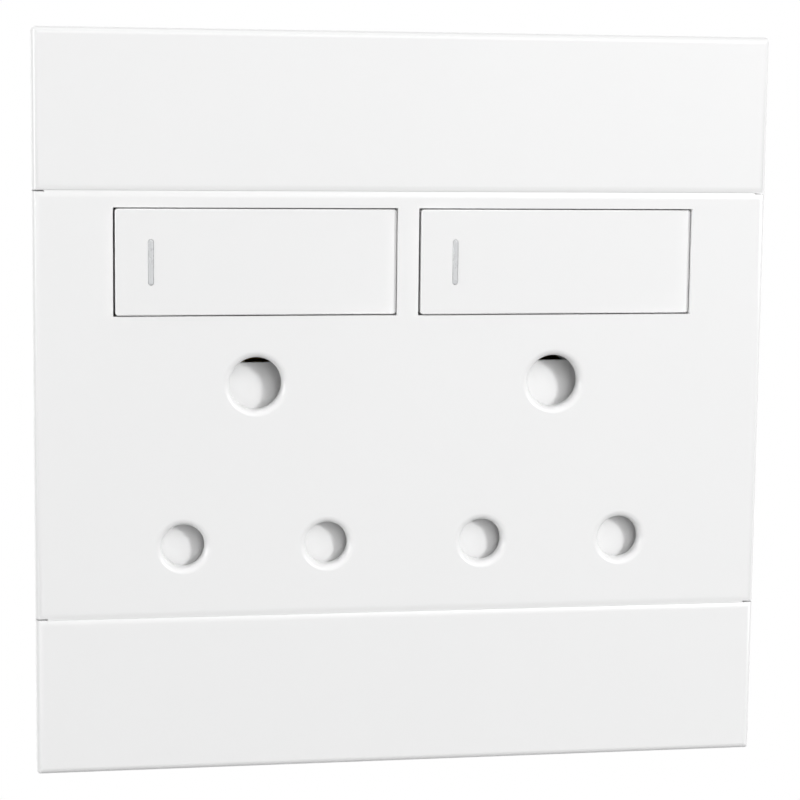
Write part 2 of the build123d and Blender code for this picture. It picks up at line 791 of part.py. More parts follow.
def make_rear_housing():
    """Make the open-fronted box behind the frame with its ribs, bosses and holes."""
    half_x, half_z = inner_width + housing_wall, housing_height / 2
    box = block(around(0, half_x), (0, housing_depth), around(0, half_z))
    box = fillet(box.edges().filter_by(Axis.Y), housing_round)
    box = fillet(edges_at_y(box, housing_depth), housing_edge_round)
    inner = block(around(0, inner_width), (-past, housing_back), around(0, inner_height))
    box -= fillet(inner.edges().filter_by(Axis.Y), housing_round - housing_wall)
    deep = (housing_screw_seat - counterbore_floor, housing_back + root)
    for x, z in housing_screws:
        box += rod_y(boss_radius, x, z, (boss_length, housing_back + root))
        box += rod_y(boss_radius + counterbore_wall, x, z, deep)
    for x in gangs.values():
        run_x, cross_z = strap_places(x)
        posts = [
            (x, earth_z, post_wide, earth_strap_y + earth_sheet),
            (x - pin_pitch / 2, live_z, post_wide, neutral_strap_y + sheet),
            (sum(run_x) / 2, live_z / 2, post_slim, live_strap_y + sheet),
            (x, sum(cross_z) / 2, post_slim, live_strap_y + sheet),
            (x + arm_reach, rocker_z, tip_radius, busbar_y + sheet),
        ]
        for px, pz, radius, front in posts:
            box += rod_y(radius, px, pz, (front, housing_back + root))
    screw_hole = housing_screw_radius + housing_screw_clearance
    counterbore = housing_screw_head + housing_head_clearance
    for x, z in housing_screws:
        box -= rod_y(screw_hole, x, z, (boss_length - past, housing_depth))
        box -= rod_y(counterbore, x, z, (housing_screw_seat, housing_depth + past))
    for x, front in terminals.values():
        wire_hole = wire_radius + wire_hole_clearance
        box -= rod_z(wire_hole, x, front + wire_inset, (half_z - housing_wall - past, half_z + past))
        driver_hole = clamp_head_radius + driver_hole_clearance
        box -= rod_y(driver_hole, x, terminal_z, (housing_back - past, housing_depth + past))
    return box


def make_housing_screws():
    """Make the four screws that hold the housing to the frame from behind."""
    screw = pan_screw(
        housing_screw_radius, housing_screw_length, housing_screw_head, screw_head_height
    )
    return [Pos(x, housing_screw_seat, z) * turned_to_room(screw) for x, z in housing_screws]


# Assembly

nodes = {
    "faceplate": [make_faceplate()],
    "upper_strip": [make_strip(1)],
    "lower_strip": [make_strip(-1)],
    "mounting_frame": [make_mounting_frame()],
    "rear_housing": [make_rear_housing()],
    "mounting_screws": make_mounting_screws(),
    "housing_screws": make_housing_screws(),
    "live_busbar": [make_live_busbar()],
    "neutral_bar": [make_neutral_bar()],
    "earth_bar": [make_earth_bar()],
    "terminal_screws": make_terminal_screws(),
}
for name, place in terminals.items():
    nodes[f"{name}_terminal"] = [make_terminal(*place)]

gang_makers = {
    "rocker": make_rocker,
    "indicator_lens": make_lens,
    "indicator_board": make_board,
    "indicator_led": make_led,
    "rocker_plunger": make_plunger,
    "plunger_spring": make_plunger_spring,
    "contact_arm": make_contact_arm,
    "arm_tip": make_arm_tip,
    "fixed_tip": make_fixed_tip,
    "live_strap": make_live_strap,
    "shutter": make_shutter,
    "shutter_spring": make_shutter_spring,
}
for side, gang_x in gangs.items():
    for name, maker in gang_makers.items():
        nodes[f"{name}_{side}"] = [maker(gang_x)]
    for name, place in pin_places(gang_x).items():
        nodes[f"{name}_sleeve_{side}"] = [make_sleeve(*place)]

os.makedirs("parts", exist_ok=True)
for node, shapes in nodes.items():
    solids = [solid for shape in shapes for solid in shape.solids()]
    export_step(Compound(children=solids) if len(solids) > 1 else solids[0], f"parts/{node}.step")
    print(node, len(solids))
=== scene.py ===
"""Dresses the double wall socket: its mouldings, metalwork, light and camera.

The frame is the socket's own, in metres: X to the right as seen from the room, Z up,
-Y into the room. Y = 0 is the wall's surface. Sizes in the classes are millimetres,
where they don't say metres.
"""

import logging
import math
from dataclasses import dataclass
from enum import Enum

import bmesh
import bpy
from mathutils import Matrix, Vector

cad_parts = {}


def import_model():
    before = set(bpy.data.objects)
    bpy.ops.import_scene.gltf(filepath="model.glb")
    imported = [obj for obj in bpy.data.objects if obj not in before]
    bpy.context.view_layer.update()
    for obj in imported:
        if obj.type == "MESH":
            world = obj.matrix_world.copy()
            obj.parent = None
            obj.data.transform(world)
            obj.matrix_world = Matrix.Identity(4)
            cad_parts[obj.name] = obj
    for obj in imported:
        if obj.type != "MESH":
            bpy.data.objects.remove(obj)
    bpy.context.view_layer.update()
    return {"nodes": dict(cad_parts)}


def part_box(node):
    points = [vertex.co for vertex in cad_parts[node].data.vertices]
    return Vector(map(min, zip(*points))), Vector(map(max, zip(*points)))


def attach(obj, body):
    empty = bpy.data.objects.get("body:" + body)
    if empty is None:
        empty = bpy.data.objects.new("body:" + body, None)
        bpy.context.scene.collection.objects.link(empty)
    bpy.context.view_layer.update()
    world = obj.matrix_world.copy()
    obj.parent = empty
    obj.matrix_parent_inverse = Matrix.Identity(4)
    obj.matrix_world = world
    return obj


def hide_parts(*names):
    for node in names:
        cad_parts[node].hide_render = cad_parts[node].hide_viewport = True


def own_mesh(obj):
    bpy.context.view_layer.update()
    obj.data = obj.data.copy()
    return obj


MM = 0.001
MERGE_DISTANCE = 1e-6
ROUNDING_SEGMENTS = 3
BUTTON_SEGMENTS = 40
PLASTIC_IOR = 1.5
LENS_IOR = 1.49
TONE_STOPS = (0.3, 0.7)
SPREAD_STOPS = (0.25, 0.75)
SIDES = ("left", "right")
log = logging.getLogger("socket")


class Grain(Enum):
    """How a moulded surface was finished in its tool."""

    POLISHED = "polished"
    SATIN = "satin"
    SPARKED = "sparked"


class MetalMark(Enum):
    """The marks that the making leaves on a metal piece."""

    ROLLED = "rolled"
    TURNED = "turned"
    PLATED = "plated"


@dataclass(frozen=True)
class Pattern:
    """A noise pattern on a piece's own coordinates.

    Attributes:
        size_mm: The size of one patch.
        detail: The pattern's octaves.
        stretch: Scale of the coordinates on each axis, or none.
        depth_mm: How deep the pattern's relief is, where it has one.
    """

    size_mm: float
    detail: float = 3.0
    stretch: tuple[float, float, float] | None = None
    depth_mm: float = 0.0


FLOW = Pattern(26.0, 4.0, (1.0, 1.0, 0.45))
RUBS = Pattern(3.0, 6.0, (0.25, 1.0, 1.0))
SWELL = Pattern(7.0, 2.0, depth_mm=0.006)
GRAINS = {
    Grain.POLISHED: Pattern(0.9, depth_mm=0.004),
    Grain.SATIN: Pattern(0.35, depth_mm=0.012),
    Grain.SPARKED: Pattern(0.22, depth_mm=0.05),
}
DULL_PATCHES = Pattern(4.0, 5.0)
MARKS = {
    MetalMark.ROLLED: Pattern(0.5, 4.0, (1.0, 1.0, 0.04), 0.006),
    MetalMark.TURNED: Pattern(0.5, 4.0, (0.05, 0.05, 1.0), 0.006),
    MetalMark.PLATED: Pattern(0.5, 4.0, (1.0, 1.0, 1.0), 0.006),
}
HAZE = Pattern(1.6, 4.0)
RIPPLE = Pattern(0.5, 2.0, (1.0, 1.0, 0.3), 0.004)
WEAVE = Pattern(0.4, 3.0, depth_mm=0.008)


class NodeTree:
    """A material's shader tree, with short calls that add nodes and join them."""

    def __init__(self, name: str) -> None:
        """Start an empty material.

        Args:
            name: The material's name.
        """
        self.material = bpy.data.materials.new(name)
        self.material.use_nodes = True
        self.tree = self.material.node_tree
        self.tree.nodes.clear()
        self.output = self.add("ShaderNodeOutputMaterial")
        self.place = self.add("ShaderNodeTexCoord").outputs["Object"]

    def add(self, kind: str, **values: object) -> bpy.types.Node:
        """Add a node and set its sockets.

        Args:
            kind: The node's type.
            **values: Socket values by name, with _ for a space.

        Returns:
            The new node.
        """
        node = self.tree.nodes.new(kind)
        for key, value in values.items():
            node.inputs[key.replace("_", " ")].default_value = value
        return node

    def join(self, source: bpy.types.NodeSocket, target: bpy.types.NodeSocket) -> None:
        """Link an output to an input."""
        self.tree.links.new(source, target)

    def noise(self, pattern: Pattern) -> bpy.types.NodeSocket:
        """Add a noise pattern.

        Args:
            pattern: The pattern's size, detail and stretch.

        Returns:
            The pattern's value, from 0 to 1.
        """
        scale = 1 / (pattern.size_mm * MM)
        node = self.add("ShaderNodeTexNoise", Scale=scale, Detail=pattern.detail)
        source = self.place
        if pattern.stretch:
            mapping = self.add("ShaderNodeMapping", Scale=pattern.stretch)
            self.join(self.place, mapping.inputs["Vector"])
            source = mapping.outputs["Vector"]
        self.join(source, node.inputs["Vector"])
        return node.outputs["Fac"]

    def spread(self, value: bpy.types.NodeSocket, low: float, high: float) -> bpy.types.NodeSocket:
        """Map the middle of a pattern onto a range.

        Args:
            value: The pattern, from 0 to 1.
            low: The result at the pattern's dark end.
            high: The result at its light end.

        Returns:
            The mapped value.
        """
        start, end = SPREAD_STOPS
        ramp = self.add("ShaderNodeMapRange", From_Min=start, From_Max=end, To_Min=low, To_Max=high)
        self.join(value, ramp.inputs["Value"])
        return ramp.outputs["Result"]

    def tones(
        self, value: bpy.types.NodeSocket, dark: tuple[float, ...], light: tuple[float, ...]
    ) -> bpy.types.NodeSocket:
        """Colour a pattern between two tones.

        Args:
            value: The pattern, from 0 to 1.
            dark: The linear colour at its dark end.
            light: The linear colour at its light end.

        Returns:
            The colour.
        """
        ramp = self.add("ShaderNodeValToRGB")
        for element, stop, colour in zip(ramp.color_ramp.elements, TONE_STOPS, (dark, light)):
            element.position = stop
            element.color = (*colour, 1.0)
        self.join(value, ramp.inputs["Fac"])
        return ramp.outputs["Color"]

    def bump(
        self,
        height: bpy.types.NodeSocket,
        pattern: Pattern,
        under: bpy.types.NodeSocket | None = None,
    ) -> bpy.types.NodeSocket:
        """Turn a height pattern into surface relief.

        Args:
            height: The pattern's value.
            pattern: The pattern, for the relief's depth.
            under: A coarser relief that this one lies on, or none.

        Returns:
            The relief's normal.
        """
        relief = self.add("ShaderNodeBump", Strength=1.0, Distance=pattern.depth_mm * MM)
        self.join(height, relief.inputs["Height"])
        if under:
            self.join(under, relief.inputs["Normal"])
        return relief.outputs["Normal"]

    def shine(self, **values: object) -> bpy.types.Node:
        """Add the main shader and join it to the output.

        Args:
            **values: Socket values by name, with _ for a space.

        Returns:
            The shader node.
        """
        shader = self.add("ShaderNodeBsdfPrincipled", **values)
        self.join(shader.outputs["BSDF"], self.output.inputs["Surface"])
        return shader


def tint(colour: tuple[float, float, float], share: float) -> tuple[float, ...]:
    """Give a colour made lighter or darker by a share of itself."""
    return tuple(min(1.0, part * share) for part in colour)


@dataclass(frozen=True)
class MouldedFinish:
    """Injection-moulded plastic with flow mottling, fine relief and hairline rub marks.

    Attributes:
        name: The material's name.
        colour: The plastic's linear colour.
        grain: How its tool was finished.
        roughness: Its middle roughness.
        mottle: How far the flow marks change the colour, as a share.
        rub: How far the rub marks change the roughness, as a share.
    """

    name: str
    colour: tuple[float, float, float]
    grain: Grain
    roughness: float
    mottle: float
    rub: float = 0.05

    def material(self) -> bpy.types.Material:
        """Build the material.

        Returns:
            The finished material.
        """
        nodes = NodeTree(self.name)
        shader = nodes.shine(IOR=PLASTIC_IOR)
        dark, light = tint(self.colour, 1 - self.mottle), tint(self.colour, 1 + self.mottle)
        nodes.join(nodes.tones(nodes.noise(FLOW), dark, light), shader.inputs["Base Color"])
        low, high = self.roughness * (1 - self.rub), self.roughness * (1 + self.rub)
        nodes.join(nodes.spread(nodes.noise(RUBS), low, high), shader.inputs["Roughness"])
        swell = nodes.bump(nodes.noise(SWELL), SWELL)
        grain = GRAINS[self.grain]
        nodes.join(nodes.bump(nodes.noise(grain), grain, swell), shader.inputs["Normal"])
        return nodes.material


@dataclass(frozen=True)
class MetalFinish:
    """Metal with making marks and patches of dulling.

    Attributes:
        name: The material's name.
        colour: The clean metal's linear colour.
        dull: Its colour where it has dulled.
        mark: The marks of its making.
        roughness: Its middle roughness.
        rough_shares: The ends of the roughness, as shares of the middle.
    """

    name: str
    colour: tuple[float, float, float]
    dull: tuple[float, float, float]
    mark: MetalMark
    roughness: float
    rough_shares: tuple[float, float] = (0.75, 1.35)

    def material(self) -> bpy.types.Material:
        """Build the material.

        Returns:
            The finished material.
        """
        nodes = NodeTree(self.name)
        shader = nodes.shine(Metallic=1.0)
        tones = nodes.tones(nodes.noise(DULL_PATCHES), self.dull, self.colour)
        nodes.join(tones, shader.inputs["Base Color"])
        pattern = MARKS[self.mark]
        marks = nodes.noise(pattern)
        low, high = (self.roughness * share for share in self.rough_shares)
        nodes.join(nodes.spread(marks, low, high), shader.inputs["Roughness"])
        nodes.join(nodes.bump(marks, pattern), shader.inputs["Normal"])
        return nodes.material


@dataclass(frozen=True)
class LensFinish:
    """Milky plastic that scatters what passes through it.

    Attributes:
        name: The material's name.
        colour: The plastic's linear colour.
        roughness: Its lowest roughness.
        clear: How much light passes through it, as a share.
        haze_share: The hazy patches' colour, as a share of the plastic's.
        rough_share: Its highest roughness, as a share of the lowest.
    """

    name: str
    colour: tuple[float, float, float]
    roughness: float
    clear: float
    haze_share: float = 0.97
    rough_share: float = 1.3

    def material(self) -> bpy.types.Material:
        """Build the material.

        Returns:
            The finished material.
        """
        nodes = NodeTree(self.name)
        shader = nodes.shine(IOR=LENS_IOR, Transmission_Weight=self.clear)
        tones = nodes.tones(nodes.noise(HAZE), tint(self.colour, self.haze_share), self.colour)
        nodes.join(tones, shader.inputs["Base Color"])
        ripple = nodes.noise(RIPPLE)
        rough = nodes.spread(ripple, self.roughness, self.roughness * self.rough_share)
        nodes.join(rough, shader.inputs["Roughness"])
        nodes.join(nodes.bump(ripple, RIPPLE), shader.inputs["Normal"])
        return nodes.material


@dataclass(frozen=True)
class BoardFinish:
    """Lacquered circuit board with a woven core and copper showing through as tracks.

    Attributes:
        name: The material's name.
        lacquer: The lacquer's linear colour.
        track: Its colour over the copper.
        roughness: Its middle roughness.
        coat: The strength of the clear coat.
        track_grid: The grid of the tracks, in millimetres.
        track_width: The tracks' width, as a share of the grid.
        shade_share: Every second field's colour, as a share of the lacquer's.
        rough_shares: The ends of the roughness, as shares of the middle.
    """

    name: str
    lacquer: tuple[float, float, float]
    track: tuple[float, float, float]
    roughness: float
    coat: float = 0.4
    track_grid: float = 4.0
    track_width: float = 0.035
    shade_share: float = 0.85
    rough_shares: tuple[float, float] = (0.8, 1.3)

    def material(self) -> bpy.types.Material:
        """Build the material.

        Returns:
            The finished material.
        """
        nodes = NodeTree(self.name)
        shader = nodes.shine(IOR=PLASTIC_IOR, Coat_Weight=self.coat)
        lines = nodes.add(
            "ShaderNodeTexBrick",
            Scale=1 / (self.track_grid * MM),
            Mortar_Size=self.track_width,
            Color1=(*self.lacquer, 1.0),
            Color2=(*tint(self.lacquer, self.shade_share), 1.0),
            Mortar=(*self.track, 1.0),
        )
        turn = nodes.add("ShaderNodeMapping", Rotation=(math.pi / 2, 0.0, 0.0))
        nodes.join(nodes.place, turn.inputs["Vector"])
        nodes.join(turn.outputs["Vector"], lines.inputs["Vector"])
        nodes.join(lines.outputs["Color"], shader.inputs["Base Color"])
        weave = nodes.noise(WEAVE)
        low, high = (self.roughness * share for share in self.rough_shares)
        nodes.join(nodes.spread(weave, low, high), shader.inputs["Roughness"])
        nodes.join(nodes.bump(weave, WEAVE), shader.inputs["Normal"])
        return nodes.material


Finish = MouldedFinish | MetalFinish | LensFinish | BoardFinish

COVER_WHITE = MouldedFinish("cover white", (0.87, 0.87, 0.87), Grain.POLISHED, 0.3, 0.004)
ROCKER_WHITE = MouldedFinish("rocker white", (0.87, 0.87, 0.87), Grain.POLISHED, 0.28, 0.002, rub=0.01)
SHUTTER_WHITE = MouldedFinish("shutter white", (0.87, 0.87, 0.87), Grain.SATIN, 0.4, 0.01)
FRAME_WHITE = MouldedFinish("frame white", (0.74, 0.74, 0.73), Grain.SATIN, 0.45, 0.015)
HOUSING_WHITE = MouldedFinish("housing white", (0.68, 0.68, 0.65), Grain.SPARKED, 0.55, 0.02)
CERAMIC = MouldedFinish("ceramic", (0.03, 0.03, 0.035), Grain.SATIN, 0.4, 0.08)
MILKY_LENS = LensFinish("milky lens", (0.72, 0.73, 0.74), 0.25, 0.12)
CLEAR_LED = LensFinish("clear diode", (0.85, 0.84, 0.78), 0.08, 0.85)
CONTACT_BRASS = MetalFinish("contact brass", (0.78, 0.58, 0.22), (0.62, 0.44, 0.17), MetalMark.ROLLED, 0.3)
TERMINAL_BRASS = MetalFinish("terminal brass", (0.74, 0.54, 0.2), (0.6, 0.42, 0.16), MetalMark.TURNED, 0.25)
SILVER_TIP = MetalFinish("silver tip", (0.86, 0.86, 0.87), (0.62, 0.61, 0.6), MetalMark.TURNED, 0.3)
ZINC_STEEL = MetalFinish("zinc steel", (0.7, 0.72, 0.75), (0.52, 0.53, 0.56), MetalMark.PLATED, 0.32)
SPRING_WIRE = MetalFinish("spring wire", (0.6, 0.6, 0.62), (0.4, 0.4, 0.42), MetalMark.ROLLED, 0.3)
SOLDER = MetalFinish("solder", (0.72, 0.72, 0.73), (0.5, 0.5, 0.52), MetalMark.PLATED, 0.28)
GREEN_BOARD = BoardFinish("green board", (0.03, 0.16, 0.07), (0.12, 0.32, 0.12), 0.35)


@dataclass
class Wardrobe:
    """Every finish as a built material, shared by the pieces that wear it."""

    materials: dict[str, bpy.types.Material]

    def wear(self, piece: bpy.types.Object, finish: Finish) -> None:
        """Dress a piece in one finish.

        Args:
            piece: The object to dress.
            finish: One of the finishes above.
        """
        if finish.name not in self.materials:
            self.materials[finish.name] = finish.material()
        material = self.materials[finish.name]
        if piece.material_slots:
            for place in piece.material_slots:
                place.material = material
        else:
            piece.data.materials.append(material)


@dataclass
class Workshop:
    """What every sub-assembly needs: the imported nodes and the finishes."""

    nodes: dict[str, bpy.types.Object]
    wardrobe: Wardrobe
    smooth_angle: float = 32.0

    def dress(self, name: str, finish: Finish) -> None:
        """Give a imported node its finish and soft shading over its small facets.

        Args:
            name: The node's name.
            finish: The finish that it wears.
        """
        piece = self.nodes[name]
        self.wardrobe.wear(piece, finish)
        self.smooth(piece)
        log.info("dressed %s in %s", name, finish.name)

    def dress_pairs(self, stems: tuple[str, ...], finish: Finish) -> None:
        """Dress the left and right node of each named pair.

        Args:
            stems: The names without their side.
            finish: The finish that they wear.
        """
        for stem in stems:
            for side in SIDES:
                self.dress(f"{stem}_{side}", finish)

    def smooth(self, piece: bpy.types.Object) -> None:
        """Shade a piece softly, with its sharp edges kept.

        Args:
            piece: The object to shade.
        """
        piece.data.shade_smooth()
        weld = piece.modifiers.new("weld", "WELD")
        weld.merge_threshold = MERGE_DISTANCE
        split = piece.modifiers.new("split", "EDGE_SPLIT")
        split.split_angle = math.radians(self.smooth_angle)
        weighted = piece.modifiers.new("weighted", "WEIGHTED_NORMAL")
        weighted.keep_sharp = True

    def add(
        self, name: str, form: bmesh.types.BMesh, finish: Finish, body: str = "socket_body"
    ) -> bpy.types.Object:
        """Turn a worked mesh into a dressed piece that moves with a body.

        Args:
            name: The new piece's name.
            form: The mesh, in metres in the socket's frame.
            finish: The finish that it wears.
            body: The body that it moves with.

        Returns:
            The new piece.
        """
        bmesh.ops.recalc_face_normals(form, faces=form.faces)
        mesh = bpy.data.meshes.new(name)
        form.to_mesh(mesh)
        form.free()
        piece = bpy.data.objects.new(name, mesh)
        bpy.context.scene.collection.objects.link(piece)
        self.wardrobe.wear(piece, finish)
        self.smooth(piece)
        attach(piece, body)
        log.info("modelled %s in %s", name, finish.name)
        return piece


def soften(form: bmesh.types.BMesh, edges: list[bmesh.types.BMEdge], round_mm: float) -> None:
    """Round the given edges of a mesh.

    Args:
        form: The mesh.
        edges: The edges to round.
        round_mm: The rounding's width on each side of an edge.
    """
    bmesh.ops.bevel(
        form,
        geom=edges,
        offset=round_mm * MM,
        segments=ROUNDING_SEGMENTS,
        profile=0.5,
        affect="EDGES",
        material=-1,
    )


def add_brick(
    form: bmesh.types.BMesh, middle: Vector, size: tuple[float, float, float], round_mm: float
) -> None:
    """Add a brick with softened edges.

    Args:
        form: The mesh to add to.
        middle: The brick's middle, in metres.
        size: Its millimetres along X, Y and Z.
        round_mm: The rounding of its edges.
    """
    scale = Matrix.Diagonal((*(part * MM for part in size), 1.0))
    made = bmesh.ops.create_cube(form, size=1.0, matrix=Matrix.Translation(middle) @ scale)
    soften(form, list({edge for vert in made["verts"] for edge in vert.link_edges}), round_mm)


def add_button(
    form: bmesh.types.BMesh, seat: Vector, radius: float, height: float, round_mm: float
) -> None:
    """Add a round button that stands towards the room, with a softened rim.

    Args:
        form: The mesh to add to.
        seat: The middle of the face that it stands on, in metres.
        radius: Its radius in millimetres.
        height: How far it stands out, and how far it reaches in.
        round_mm: The rounding of its rim.
    """
    turn = Matrix.Translation(seat) @ Matrix.Rotation(math.pi / 2, 4, "X")
    made = bmesh.ops.create_cone(
        form,
        cap_ends=True,
        segments=BUTTON_SEGMENTS,
        radius1=radius * MM,
        radius2=radius * MM,
        depth=2 * height * MM,
        matrix=turn,
    )
    rim = {
        edge
        for vert in made["verts"]
        for edge in vert.link_edges
        if all(end.co.y < seat.y for end in edge.verts)
    }
    soften(form, list(rim), round_mm)


@dataclass
class Maker:
    """A sub-assembly that is dressed and completed in the workshop."""

    shop: Workshop

    def build(self) -> None:
        """Dress the sub-assembly and model what it lacks."""
        raise NotImplementedError


@dataclass
class Covers(Maker):
    """The three clip-on covers."""

    def build(self) -> None:
        """Dress the centre cover and the two blank strips."""
        for name in ("faceplate", "upper_strip", "lower_strip"):
            self.shop.dress(name, COVER_WHITE)


@dataclass
class Rockers(Maker):
    """The two rockers with their lenses, plungers and springs."""

    def build(self) -> None:
        """Dress both rockers and what rides in them."""
        self.shop.dress_pairs(("rocker",), ROCKER_WHITE)
        self.shop.dress_pairs(("indicator_lens",), MILKY_LENS)
        self.shop.dress_pairs(("rocker_plunger",), FRAME_WHITE)
        self.shop.dress_pairs(("plunger_spring",), SPRING_WIRE)


@dataclass
class Boards(Maker):
    """The small circuit boards under the indicators, with what is soldered to them.

    Attributes:
        chip: The chip resistor's size.
        chip_cap: The size of each of its metal caps.
        chip_round: The rounding of the chip's edges.
        cap_round: The rounding of the caps' edges.
        chip_beside: How far the chip lies from the board's middle.
        joint_radius: The solder domes' radius.
        joint_flatness: Their height, as a share of the radius.
        joint_beside: How far they lie past the diode's ends.
        joint_segments: The steps around each dome.
    """

    chip: tuple[float, float, float] = (1.2, 0.5, 1.5)
    chip_cap: tuple[float, float, float] = (1.26, 0.56, 0.35)
    chip_round: float = 0.06
    cap_round: float = 0.08
    chip_beside: float = 2.45
    joint_radius: float = 0.42
    joint_flatness: float = 0.55
    joint_beside: float = 0.35
    joint_segments: int = 24

    def build(self) -> None:
        """Dress both boards and their diodes, and solder the chips and legs on."""
        self.shop.dress_pairs(("indicator_board",), GREEN_BOARD)
        self.shop.dress_pairs(("indicator_led",), CLEAR_LED)
        for side in SIDES:
            low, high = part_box(f"indicator_board_{side}")
            middle = Vector(((low.x + high.x) / 2, low.y, (low.z + high.z) / 2))
            self.add_chip(side, middle + Vector((-self.chip_beside, 0.0, 0.0)) * MM)
            self.add_joints(side, middle)

    def add_chip(self, side: str, seat: Vector) -> None:
        """Model a chip resistor with its two metal caps.

        Args:
            side: Left or right.
            seat: The middle of its footprint, in metres.
        """
        body, caps = bmesh.new(), bmesh.new()
        add_brick(body, seat, self.chip, self.chip_round)
        for end in (-1, 1):
            cap_z = end * (self.chip[2] + self.chip_cap[2]) / 2
            add_brick(caps, seat + Vector((0.0, 0.0, cap_z)) * MM, self.chip_cap, self.cap_round)
        self.shop.add(f"chip_{side}", body, CERAMIC)
        self.shop.add(f"chip_caps_{side}", caps, SOLDER)

    def add_joints(self, side: str, middle: Vector) -> None:
        """Model the solder domes beside the diode's legs.

        Args:
            side: Left or right.
            middle: The middle of the board's front, in metres.
        """
        low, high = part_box(f"indicator_led_{side}")
        form = bmesh.new()
        shape = Matrix.Diagonal((1.0, self.joint_flatness, 1.0, 1.0))
        for end in (low.z - self.joint_beside * MM, high.z + self.joint_beside * MM):
            for shift in (-self.joint_radius * 2 * MM, self.joint_radius * 2 * MM):
                spot = Matrix.Translation((middle.x + shift, middle.y, end))
                bmesh.ops.create_uvsphere(
                    form,
                    u_segments=self.joint_segments,
                    v_segments=self.joint_segments // 2,
                    radius=self.joint_radius * MM,
                    matrix=spot @ shape,
                )
        self.shop.add(f"solder_joints_{side}", form, SOLDER)


@dataclass
class EjectorMarks(Maker):
    """The faint round marks that the mould's ejector pins left on the frame's front.

    Attributes:
        radius: The marks' radius.
        height: How far they stand out.
        edge_inset: How far their middles lie inside the frame's edges.
        screw_head: The height of the wall screws' heads, which sit on the frame's front.
    """

    radius: float = 2.4
    height: float = 0.06
    edge_inset: float = 10.0
    screw_head: float = 2.0

    def build(self) -> None:
        """Model one mark in each corner of the frame, on the face that the screw heads sit on."""
        low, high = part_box("mounting_frame")
        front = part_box("mounting_screws")[0].y + self.screw_head * MM
        inset = self.edge_inset * MM
        form = bmesh.new()
        for x in (low.x + inset, high.x - inset):
            for z in (low.z + inset, high.z - inset):
                add_button(form, Vector((x, front, z)), self.radius, self.height, self.height / 2)
        self.shop.add("ejector_marks", form, FRAME_WHITE)


@dataclass
class Shutters(Maker):
    """The shutters that the earth pins push down.

    Attributes:
        travel: How far a shutter drops; not used.
    """

    travel: float = 8.8

    def build(self) -> None:
        """Dress both shutters and set in copies of their springs."""
        self.shop.dress_pairs(("shutter",), SHUTTER_WHITE)
        for side in SIDES:
            self.set_spring(side)

    def set_spring(self, side: str) -> None:
        """Copy a packed spring into a piece with a mesh of its own, and hide the packed one.

        Args:
            side: Left or right.
        """
        node = f"shutter_spring_{side}"
        form = bmesh.new()
        form.from_mesh(self.shop.nodes[node].data)
        bmesh.ops.remove_doubles(form, verts=form.verts, dist=MERGE_DISTANCE)
        spring = self.shop.add(f"return_spring_{side}", form, SPRING_WIRE)
        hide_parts(node)
        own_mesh(spring)


@dataclass
class Contacts(Maker):
    """The brass that carries the current, with its tips and terminals."""

    def build(self) -> None:
        """Dress sleeves, straps, bars, arms, tips and terminals."""
        brass = ("live_strap", "contact_arm", "earth_sleeve", "live_sleeve", "neutral_sleeve")
        self.shop.dress_pairs(brass, CONTACT_BRASS)
        self.shop.dress_pairs(("arm_tip", "fixed_tip"), SILVER_TIP)
        for name in ("live_busbar", "neutral_bar", "earth_bar"):
            self.shop.dress(name, CONTACT_BRASS)
        for name in ("live_terminal", "neutral_terminal", "earth_terminal"):
            self.shop.dress(name, TERMINAL_BRASS)


@dataclass
class Backwork(Maker):
    """The frame and housing behind the covers, and the screws that hold them."""

    def build(self) -> None:
        """Dress the two mouldings and the screws."""
        self.shop.dress("mounting_frame", FRAME_WHITE)
        self.shop.dress("rear_housing", HOUSING_WHITE)
        for name in ("mounting_screws", "housing_screws", "terminal_screws"):
            self.shop.dress(name, ZINC_STEEL)


@dataclass(frozen=True)
class Lamp:
    """A soft square lamp that faces the socket.

    Attributes:
        name: The lamp's name.
        way: Direction from the socket to the lamp.
        away: Distance in metres.
        size: Side of the lamp in metres.
        power: Watts.
    """

    name: str
    way: tuple[float, float, float]
    away: float
    size: float
    power: float

    def hang(self) -> None:
        """Hang the lamp in the scene."""
        data = bpy.data.lights.new(self.name, "AREA")
        data.size = self.size
        data.energy = self.power
        lamp = bpy.data.objects.new(self.name, data)
        direction = Vector(self.way).normalized()
        turn = (-direction).to_track_quat("-Z", "Y")
        lamp.matrix_world = Matrix.Translation(direction * self.away) @ turn.to_matrix().to_4x4()
        bpy.context.scene.collection.objects.link(lamp)


LAMPS = (
    Lamp("key", (0.8, -1.0, 0.36), 1.5, 0.2, 10.2),
    Lamp("soft", (0.4, -1.0, 0.55), 1.7, 1.1, 10.6),
    Lamp("left", (-1.0, -0.2, 0.1), 1.2, 0.4, 7.4),
    Lamp("above", (0.0, -0.12, 1.0), 1.4, 0.4, 1.5),
    Lamp("behind", (-0.5, 1.0, 0.6), 1.6, 1.0, 9.0),
)


